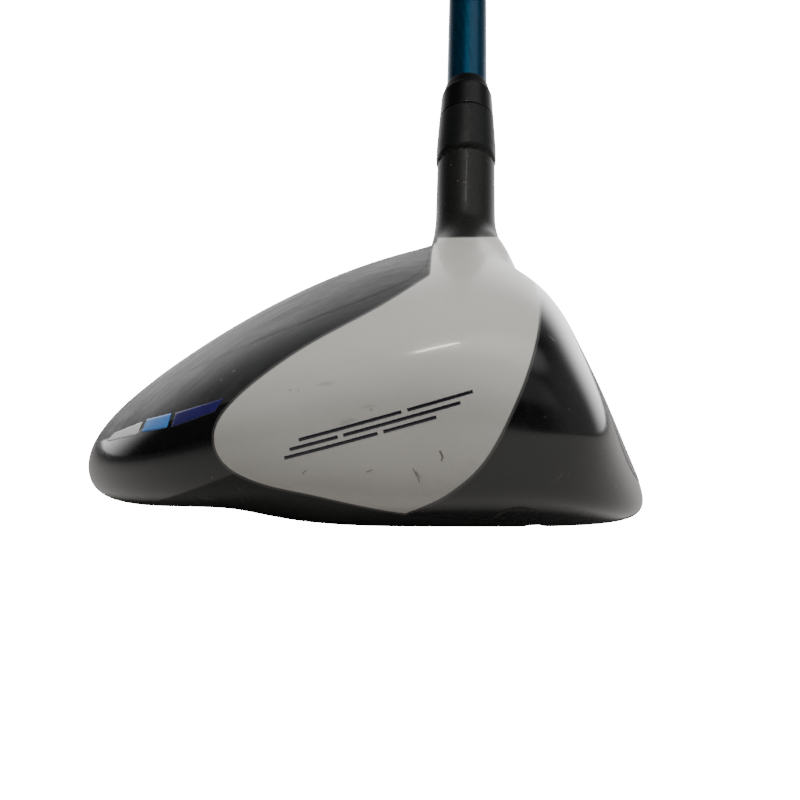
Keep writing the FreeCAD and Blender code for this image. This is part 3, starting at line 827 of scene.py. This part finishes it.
# striking face: level rows between the two sides of its outline, with score lines sunk between them
def makeFacePlate():
    f = face
    low, high = faceLoop[:, 1].min(), faceLoop[:, 1].max()
    ring = np.roll(faceLoop, -np.argmin(faceLoop[:, 1]), 0)
    split = np.argmax(ring[:, 1])
    heelSide, toeSide = ring[:split + 1], np.concatenate([ring[split:], ring[:1]])[::-1]
    scores = f["scoreStart"] + f["scorePitch"] * np.arange(f["scoreCount"]) + f["scoreLift"]
    half = f["scoreHalfWidth"]
    marks = np.add.outer(np.array([-1.0, -0.8, -0.35, 0.0, 0.35, 0.8, 1.0]) * half, scores).ravel()
    even = low + (high - low) * (0.5 - 0.5 * np.cos(np.linspace(0, math.pi, 80)))
    z = np.unique(np.round(np.concatenate([even, marks]), 2))
    toeY = np.interp(z, toeSide[:, 1], toeSide[:, 0])
    heelY = np.interp(z, heelSide[:, 1], heelSide[:, 0])
    across = 0.5 - 0.5 * np.cos(np.linspace(0, math.pi, 170))
    gridY = toeY[:, None] + (heelY - toeY)[:, None] * across
    gridZ = np.repeat(z[:, None], len(across), 1)
    points, normals = castOnHead(np.stack([np.full_like(gridY, 60.0), gridY, gridZ], -1) * mm, (-1, 0, 0))
    edge = -loopDistance(np.stack([gridY.ravel(), gridZ.ravel()], 1), faceLoop).reshape(gridY.shape)
    gaps = np.abs(gridZ[..., None] - scores)
    halfSpan = 0.5 * (f["scoreSpan"] - f["scoreStep"] * (f["scoreCount"] - gaps.argmin(-1)))
    inSpan = ease(0.3, -0.3, np.abs(gridY - f["scoreMiddle"]) - halfSpan)
    groove = f["scoreDepth"] * ease(half, 0.35 * half, gaps.min(-1)) * inSpan
    lift = f["proud"] - f["edgeDrop"] * ease(f["edgeWidth"], 0.0, edge) - groove
    rows = wrapped(points, normals, lift, f["thick"])
    depth = np.concatenate([groove, 0 * groove], 1)
    return rowMesh("facePlate", rows, fields={"scoreDepth": depth}, merge=True)


decals = {
    "lift": 0.03, "sink": 0.04,
    # stripe blocks on the tail as (x, z) corners: upper left, upper right, lower right, lower left
    "pale": ((-37.6, 12.8), (-32.3, 14.8), (-32.6, 13.6), (-38.9, 11.7)),
    "sky": ((-31.7, 15.1), (-27.9, 16.2), (-28.1, 14.9), (-31.9, 13.9)),
    "violet": ((-27.3, 16.3), (-21.6, 18.1), (-22.4, 16.9), (-27.5, 15.0)),
    # toe mark: long broken lines along a rising base line, each as (height, start, end) in shares of it
    "markStart": (-15.4, 13.15), "markEnd": (1.1, 18.0), "markHeight": 1.45,
    "lineWidth": 0.27, "markLean": -0.25,
    "markLines": ((1.0, 0.10, 0.64), (1.0, 0.67, 1.0), (0.5, 0.04, 0.30), (0.5, 0.33, 0.93), (0.0, 0.0, 0.50),
                  (0.0, 0.53, 0.80)),
    # small scuffs on the toe as (x, z) lines with their width
    "scuffs": ((((-1.95, 14.35), (-1.75, 14.0), (-1.65, 13.65)), 0.16),
               (((-1.72, 13.7), (-1.80, 13.4)), 0.09),
               (((-4.25, 12.8), (-3.9, 12.2), (-3.6, 11.5)), 0.07), (((-3.95, 12.5), (-3.5, 11.9)), 0.05),
               (((-13.9, 11.9), (-13.5, 12.3)), 0.06), (((-8.2, 12.3), (-7.6, 12.6)), 0.06)),
    # raised lip where the sole slot's end turns up on the toe
    "slotTip": ((2.9, 7.5), (3.5, 8.3), (4.8, 8.85), (6.1, 8.6), (7.0, 8.2)), "slotTipWidth": 0.34,
}


# (x, z) grid over a four-cornered patch: its corners blended in two directions
def patchGrid(corners, across, along):
    a, b, c, d = np.asarray(corners, float)
    s, t = np.meshgrid(np.linspace(0, 1, across), np.linspace(0, 1, along))
    s, t = s[..., None], t[..., None]
    return (a * (1 - t) + b * t) * (1 - s) + (d * (1 - t) + c * t) * s


# (x, z) grid along a smooth line, as wide as given and drawn in at both ends
def bandGrid(line, width, across=6):
    run = smoothRun(line, 10)
    slope = np.gradient(run, axis=0)
    side = np.stack([-slope[:, 1], slope[:, 0]], 1) / np.linalg.norm(slope, axis=1)[:, None]
    taper = np.sqrt(np.clip(1 - np.linspace(-1, 1, len(run)) ** 6, 0.05, 1))[:, None]
    return run[:, None] + (side * taper)[:, None] * np.linspace(width / 2, -width / 2, across)[:, None]


# thin skin on the toe side: grid points dropped on along +Y, lifted a hair, with an underside sunk in
def skinPatch(xz):
    along, across = xz.shape[:2]
    s, t = np.meshgrid(np.linspace(0, 1, across), np.linspace(0, 1, along))
    origins = np.stack([xz[..., 0], np.full(xz.shape[:2], -120.0), xz[..., 1]], -1) * mm
    points, normals = castOnHead(origins, (0, 1, 0))
    border = np.minimum(np.minimum(s, 1 - s) * 4, np.minimum(t, 1 - t) * 12)
    return rowFaces(wrapped(points, normals, decals["lift"] * np.clip(border + 0.5, 0, 1), decals["sink"]))


# one piece from several skins on the toe side
def skins(name, grids):
    return buildMesh(name, [skinPatch(grid) for grid in grids], merge=True)


# stripe block: the blend of its four corners, laid on the head
def makeStripe(name, key):
    return skins(name, [patchGrid(decals[key], 10, 40)])


# toe mark: each line runs between two shares of the base line, lifted and leaned by its height
def makeToeMark():
    d = decals
    start, run = np.array(d["markStart"]), np.subtract(d["markEnd"], d["markStart"])
    up = np.array([d["markLean"], 1.0])
    grids = []
    for height, first, last in d["markLines"]:
        base = start + up * height * (d["markHeight"] - d["lineWidth"])
        left, right, rise = base + run * first, base + run * last, up * d["lineWidth"]
        grids.append(patchGrid((left + rise, right + rise, right, left), 5, 60))
    return skins("toeMark", grids)


# scuffs: a narrow band along each line
def makeScuffs():
    return skins("toeScuffs", [bandGrid(line, width, 4) for line, width in decals["scuffs"]])


# lip of the slot on the toe: one band along its line
def makeSlotTip():
    return skins("slotTip", [bandGrid(decals["slotTip"], decals["slotTipWidth"])])


filler = {
    "steps": 110, "halfWidth": 1.16, "toeTaper": 0.17,
    "sag": 0.42, "middleSag": 0.18, "ribs": 46, "ribHeight": 0.06, "thick": 1.1,
}


# slot filler: a strip along the slot's line, sagging and ribbed between its edges, a little below the sole
def makeSlotFiller():
    c = filler
    line = slotLine(c["steps"])
    run = np.linspace(0, 1, c["steps"])
    slope = np.gradient(line, axis=0)
    side = np.stack([slope[:, 1], -slope[:, 0]], 1) / np.linalg.norm(slope, axis=1)[:, None]
    across = np.linspace(-1, 1, 15)
    narrow = np.sqrt(np.clip(1 - np.linspace(-1, 1, c["steps"]) ** 30, 0.02, 1))
    xy = line[:, None] + side[:, None] * (across[None, :, None] * c["halfWidth"] * narrow[:, None, None])
    origins = np.concatenate([xy, np.full(xy.shape[:2] + (1,), -40.0)], -1) * mm
    points, normals = castOnHead(origins, (0, 0, 1))
    deep = 0.05 + 0.95 * ease(0.0, c["toeTaper"], run)[:, None]
    sag = deep * (c["sag"] + c["middleSag"] * (1 - across**2))
    turns = np.linspace(0, 2 * math.pi * c["ribs"], c["steps"])
    ribs = c["ribHeight"] * np.cos(turns)[:, None] * (1 - across**2)
    return rowMesh("slotFiller", wrapped(points, normals, -(sag + ribs), c["thick"]), merge=True)


sleeve = {
    "low": lowLevel("loft_sleeve", 5.5), "threadRadius": 2.55, "boreRadius": 4.75, "threadTop": 47.0,
    "teeth": 12, "toothDepth": 0.5, "teethEnd": (46.5, 46.1), "barrelRadius": 5.5,
    "collarLow": 67.02, "collarLip": 6.4, "collarRadius": 6.7, "shoulder": 6.3, "topRadius": 6.0,
    "top": lowLevel("ferrule", 6.25),
}
ferrule = {
    "low": lowLevel("ferrule", 6.25), "top": highLevel("ferrule", 5.0), "chamfer": 3.2,
    "inner": 4.75, "outer": 6.25, "shoulder": 5.9, "neck": 5.66, "tip": 5.0,
}
shaftSizes = {"low": 49.0, "taperStart": 124.0, "high": 998.5, "tip": 4.7, "butt": 7.6, "wall": 1.5}
gripSizes = {
    "low": lowLevel("grip", 8.05), "high": 998.5, "mouth": 10.25, "butt": 13.3,
    "rings": (0.10, 0.13, 0.16, 0.62, 0.65, 0.68), "ringDepth": 0.5,
    "panel": (0.20, 0.595), "upperPanel": (0.715, 0.95), "pitch": 4.2, "starts": 14, "cutDepth": 0.34,
    "cutEdge": (0.17, 0.08), "bareStrip": (0.10, 0.16), "panelFade": 0.006,
    "ringWidth": 1.5, "buttStep": 0.6, "socketGap": 0.45,
}
gripCapSizes = {
    "mouth": 13.3, "outer": 13.9, "shoulder": 11.9, "flat": 9.3, "dimple": (6.2, 5.9, 5.5), "vent": 1.6,
}


# square teeth on the sleeve's lower end: twelve lobes cut in to the tooth depth
def sleeveTeeth(level, theta):
    wave = ease(-0.25, 0.25, np.sin(theta * sleeve["teeth"]))
    high, full = sleeve["teethEnd"]
    inZone = ease(high * mm, full * mm, level) * ease(sleeve["low"] * mm, (sleeve["low"] + 0.3) * mm, level)
    return -sleeve["toothDepth"] * (1 - wave) * inZone


# sleeve: collar, barrel and bore turned about the axis, with teeth cut in where the profile is outside
def makeSleeve():
    c = sleeve
    low, top, collar = c["low"], c["top"], c["collarLow"]
    barrel = c["barrelRadius"] - 0.02
    outside = eased([(c["threadRadius"], low), (c["barrelRadius"] - 0.35, low), (barrel, low + 0.5),
                     (barrel, collar), (c["collarLip"], collar), (c["collarRadius"], collar + 0.9),
                     (c["collarRadius"], collar + 4.0), (c["shoulder"], top - 0.3), (c["topRadius"], top),
                     (c["boreRadius"], top), (c["boreRadius"], c["threadTop"]),
                     (c["threadRadius"], c["threadTop"]), (c["threadRadius"], low)], 0.25)
    radiusChange = lambda level, theta: np.where(isOuter, sleeveTeeth(level, theta), 0)
    profile = divided(outside, 0.35)[:-1]
    isOuter = (profile[:, 0] > 4.9)[:, None]
    return turned("sleeveBody", profile, 144, radiusChange)


# ferrule: a turned ring, a slow taper up to its shoulder and a quick one to the shaft
def makeFerrule():
    c = ferrule
    low, top, inner = c["low"], c["top"], c["inner"]
    level = top - c["chamfer"]
    profile = eased([(inner, low), (c["outer"] - 0.03, low), (c["outer"], low + 0.3), (c["shoulder"], level),
                     (c["neck"], level + 0.55), (c["tip"], top), (inner, top), (inner, low)], 0.35)
    return turned("ferruleRing", divided(profile, 0.4)[:-1], 128)


# shaft radius: the tip's, then a straight taper to the butt
def shaftRadius(level):
    c = shaftSizes
    along = np.clip((level - c["taperStart"]) / (c["high"] - c["taperStart"]), 0, 1)
    return c["tip"] + (c["butt"] - c["tip"]) * along


# shaft: a turned tube, up its tapered outside and back down at the wall's thickness
def makeShaft():
    c = shaftSizes
    level = np.concatenate([np.linspace(c["low"], 200, 60), np.linspace(205, c["high"], 160)])
    outer = np.stack([shaftRadius(level), level], 1)
    inner = (outer - [c["wall"], 0])[::-1][::4]
    rimLow = np.array([[c["tip"] - c["wall"], c["low"]], [c["tip"] - 0.3, c["low"]]])
    outer[0, 1] += 0.3
    return turned("shaftTube", np.concatenate([rimLow, outer, inner[:-1]]), 96)


# grip: a straight taper with ring grooves, and two panels of crossing helical cuts
def gripCuts(level, theta):
    c = gripSizes
    along = (level / mm - c["low"]) / (c["high"] - c["low"])
    mask = 0
    for low, high in (c["panel"], c["upperPanel"]):
        mask = mask + ease(low, low + c["panelFade"], along) * ease(high, high - c["panelFade"], along)
    turn = theta * c["starts"] / (2 * math.pi)
    rise = level / mm / c["pitch"]
    cuts = 0
    for sign in (1, -1):
        phase = (turn + sign * rise) % 1.0
        cuts = np.maximum(cuts, ease(*c["cutEdge"], np.abs(phase - 0.5)))
    window = ease(*c["bareStrip"], np.abs(((theta / (2 * math.pi) + 0.25) % 0.5) - 0.25) * 2)
    return -c["cutDepth"] * cuts * mask * window


# grip: a turned sleeve, up its tapered outside with ring grooves and back down its socket
def makeGrip():
    c = gripSizes
    low, high, mouth, butt = c["low"], c["high"], c["mouth"], c["butt"]
    groove, width = c["ringDepth"], c["ringWidth"]
    corners = [(mouth - 2.2, low), (mouth - 0.6, low + 1.4), (mouth, low + 4.0)]
    for f in c["rings"]:
        level, radius = low + f * (high - low), mouth + (butt - c["buttStep"] - mouth) * f
        corners += [(radius, level), (radius - groove, level + groove), (radius - groove, level + width),
                    (radius, level + width + groove)]
    corners += [(butt - c["buttStep"], high - 6.0), (butt, high - 3.0), (butt, high)]
    outside = divided(eased(corners, 0.5), 0.62)
    levels = np.linspace(high, low, 12)
    sockets = np.stack([shaftRadius(levels) + c["socketGap"], levels], 1)
    radiusChange = lambda level, theta: np.where(isOuter, gripCuts(level, theta), 0)
    profile = np.concatenate([outside, sockets])
    isOuter = (np.arange(len(profile)) < len(outside))[:, None]
    return turned("gripSleeve", profile, 168, radiusChange)


# grip cap: a turned disc with a rounded rim, a shallow dimple and the vent through its middle
def makeGripCap():
    c = gripCapSizes
    low, high, vent = gripSizes["high"], highLevel("grip_cap", c["flat"]), c["vent"]
    dimple, bottom, inside = c["dimple"]
    profile = eased([(vent, low), (c["mouth"], low), (c["outer"], low + 1.2), (c["outer"], low + 2.4),
                     (c["shoulder"], high - 0.8), (c["flat"], high), (dimple, high), (bottom, high - 0.35),
                     (inside, high), (vent + 0.5, high), (vent, high - 0.5), (vent, low)], 0.5)
    return turned("gripCap", divided(profile, 0.35)[:-1], 128)


dress(makeHeadShell(), headPaint, "head", "head_paint", "head_body")
dress(makeCrownSkin(), headPaint, "head", "crown_paint", "crown_plate")
dress(makeFacePlate(), faceSteel, "head", "face_steel", "face_plate")
dress(makeSlotFiller(), slotFinish, "head", "slot_rubber", "slot_insert")
print("head shell, crown, face and slot made")
dress(makeStripe("stripePale", "pale"), paleBlock, "head", "crown_paint")
dress(makeStripe("stripeSky", "sky"), skyBlock, "head", "crown_paint")
dress(makeStripe("stripeViolet", "violet"), violetBlock, "head", "crown_paint")
dress(makeToeMark(), darkInk, "head", "head_paint")
dress(makeScuffs(), scuffInk, "head", "head_paint")
dress(makeSlotTip(), slotFinish, "head", "slot_rubber")
print("stripe, mark and scuffs made")
dress(makeSleeve(), sleeveFinish, "shaft_assembly", "sleeve_alu", "loft_sleeve")
dress(makeFerrule(), ferruleFinish, "shaft_assembly", "ferrule_plastic", "ferrule")
dress(makeShaft(), shaftPaint, "shaft_assembly", "shaft_graphite", "shaft")
dress(makeGrip(), gripFinish, "shaft_assembly", "grip_rubber", "grip")
dress(makeGripCap(), capFinish, "shaft_assembly", "grip_rubber", "grip_cap")
for node, finish in (("hosel_screw", screwSteel), ("screw_washer", screwSteel), ("screw_clip", screwSteel),
                     ("tip_weight", weightBrass), ("grip_tape", tapeFinish)):
    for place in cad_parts[node].material_slots:
        place.material = finish
print("sleeve, shaft and grip made")

view = {
    "place": (0.0, -136.4 * mm, 26.2 * mm),
    "yaw": math.radians(5.0),
    "pitch": math.radians(7.17),
    "focal": 729.8 / 800.0,
}


# camera level with the toe, turned left by yaw and tipped down by pitch
def makeCamera():
    data = bpy.data.cameras.new("camera")
    data.sensor_width = 36.0
    data.lens = 36.0 * view["focal"]
    data.clip_start = 0.005
    data.clip_end = 50.0
    camera = bpy.data.objects.new("camera", data)
    camera.location = view["place"]
    camera.rotation_euler = (math.pi / 2 - view["pitch"], 0, view["yaw"])
    bpy.context.scene.collection.objects.link(camera)
    bpy.context.scene.camera = camera


lamps = {
    "key": {"place": (0.25, -0.40, 1.42), "size": (0.7, 0.7), "power": 26.0, "mirrored": False},
    "streak": {"place": (-0.05, -0.50, 1.22), "size": (0.36, 0.035), "power": 1.3, "turn": 0.95,
               "tint": (1.0, 0.97, 0.92)},
}


# soft lamp; one that isn't mirrored lights the paint but leaves no bright patch in its gloss
def areaLight(name, aim, place, size, power, mirrored=True, turn=0.0, tint=(1, 1, 1)):
    data = bpy.data.lights.new(name, "AREA")
    data.shape = "RECTANGLE"
    data.size, data.size_y = size
    data.energy = power
    data.color = tint
    light = bpy.data.objects.new(name, data)
    light.visible_glossy = mirrored
    light.location = place
    facing = (Vector(aim) - Vector(place)).to_track_quat("-Z", "Y")
    light.rotation_euler = (facing @ Quaternion((0, 0, 1), turn)).to_euler()
    bpy.context.scene.collection.objects.link(light)


studio = {
    "white": 20.0,       # what the camera sees of floor and backdrop
    "floorTone": 0.38,   # what the club sees of the floor
    "poolFalloff": (0.20, 0.52), "poolShift": (-0.25, 0.10, 0.0),  # painted pool of light: where the floor's tone falls off
    "back": 2.6, "right": 0.22, "front": 0.006, "window": 0.22,
    "sky": 0.6, "skyAim": (0.45, -0.16, 0.88),
}


# floor and backdrop: pure white to the camera;
# to the club a pale floor that darkens away from it as a painted pool of light, a bright wall behind and a dark
# room in front
def makeStage():
    reach, level = 6.0, -0.0002
    corners = [(x * reach, y * reach, level) for x, y in ((-1, -1), (1, -1), (1, 1), (-1, 1))]
    mesh = bpy.data.meshes.new("floor")
    mesh.from_pydata(corners, [], [(0, 1, 2, 3)])
    floor = bpy.data.objects.new("floor", mesh)
    bpy.context.scene.collection.objects.link(floor)
    material, tree, shader = startMaterial("floorPaint", Roughness=0.9)
    tone = studio["floorTone"]
    colour = blendColour(tree, noise(tree, objectSpace(tree), 40.0, 3.0), (tone, tone * 0.97, tone * 0.92),
                         (tone * 1.05, tone * 1.02, tone))
    fromMiddle = put(tree, "ShaderNodeVectorMath", {0: objectSpace(tree), 1: studio["poolShift"]},
                     operation="ADD")
    away = put(tree, "ShaderNodeVectorMath", {0: fromMiddle.outputs[0]}, operation="LENGTH").outputs["Value"]
    # painted pool of light: the floor's tone fades to near black away from the club
    colour = blendColour(tree, span(tree, away, *studio["poolFalloff"], smooth=True), colour, (0.02, 0.02, 0.02))
    tree.links.new(colour, shader.inputs["Base Color"])
    seen = put(tree, "ShaderNodeLightPath").outputs["Is Camera Ray"]
    tree.links.new(times(tree, seen, studio["white"]), shader.inputs["Emission Strength"])
    shader.inputs["Emission Color"].default_value = (1, 1, 1, 1)
    mesh.materials.append(material)
    world = bpy.data.worlds.new("studio")
    world.use_nodes = True
    bpy.context.scene.world = world
    tree = world.node_tree
    background = tree.nodes["Background"]
    coord = put(tree, "ShaderNodeTexCoord").outputs["Generated"]
    part = put(tree, "ShaderNodeSeparateXYZ", {"Vector": coord})
    wall = span(tree, part.outputs["Y"], 0.25, 0.95, 0.0, studio["back"], smooth=True)
    wall = times(tree, wall, span(tree, part.outputs["Z"], 0.12, 0.62, 1.0, 0.10, smooth=True))
    sides = span(tree, part.outputs["X"], 0.55, 0.95, studio["front"], studio["right"], smooth=True)
    window = span(tree, part.outputs["Y"], -0.35, -0.6, 0.0, studio["window"], smooth=True)
    window = times(tree, window, span(tree, part.outputs["Z"], 0.22, 0.38, smooth=True))
    toward = put(tree, "ShaderNodeVectorMath", {0: coord, 1: studio["skyAim"]}, operation="DOT_PRODUCT")
    sky = span(tree, toward.outputs["Value"], 0.90, 0.985, 0.0, studio["sky"], smooth=True)
    room = plus(tree, plus(tree, wall, sides), plus(tree, window, sky))
    seen = put(tree, "ShaderNodeLightPath").outputs["Is Camera Ray"]
    tree.links.new(blendValue(tree, seen, room, studio["white"]), background.inputs["Strength"])
    background.inputs["Color"].default_value = (1, 1, 1, 1)


makeCamera()
makeStage()
for name, lamp in lamps.items():
    areaLight(name, (0, -0.03, 0.02), **lamp)
print("stage ready")
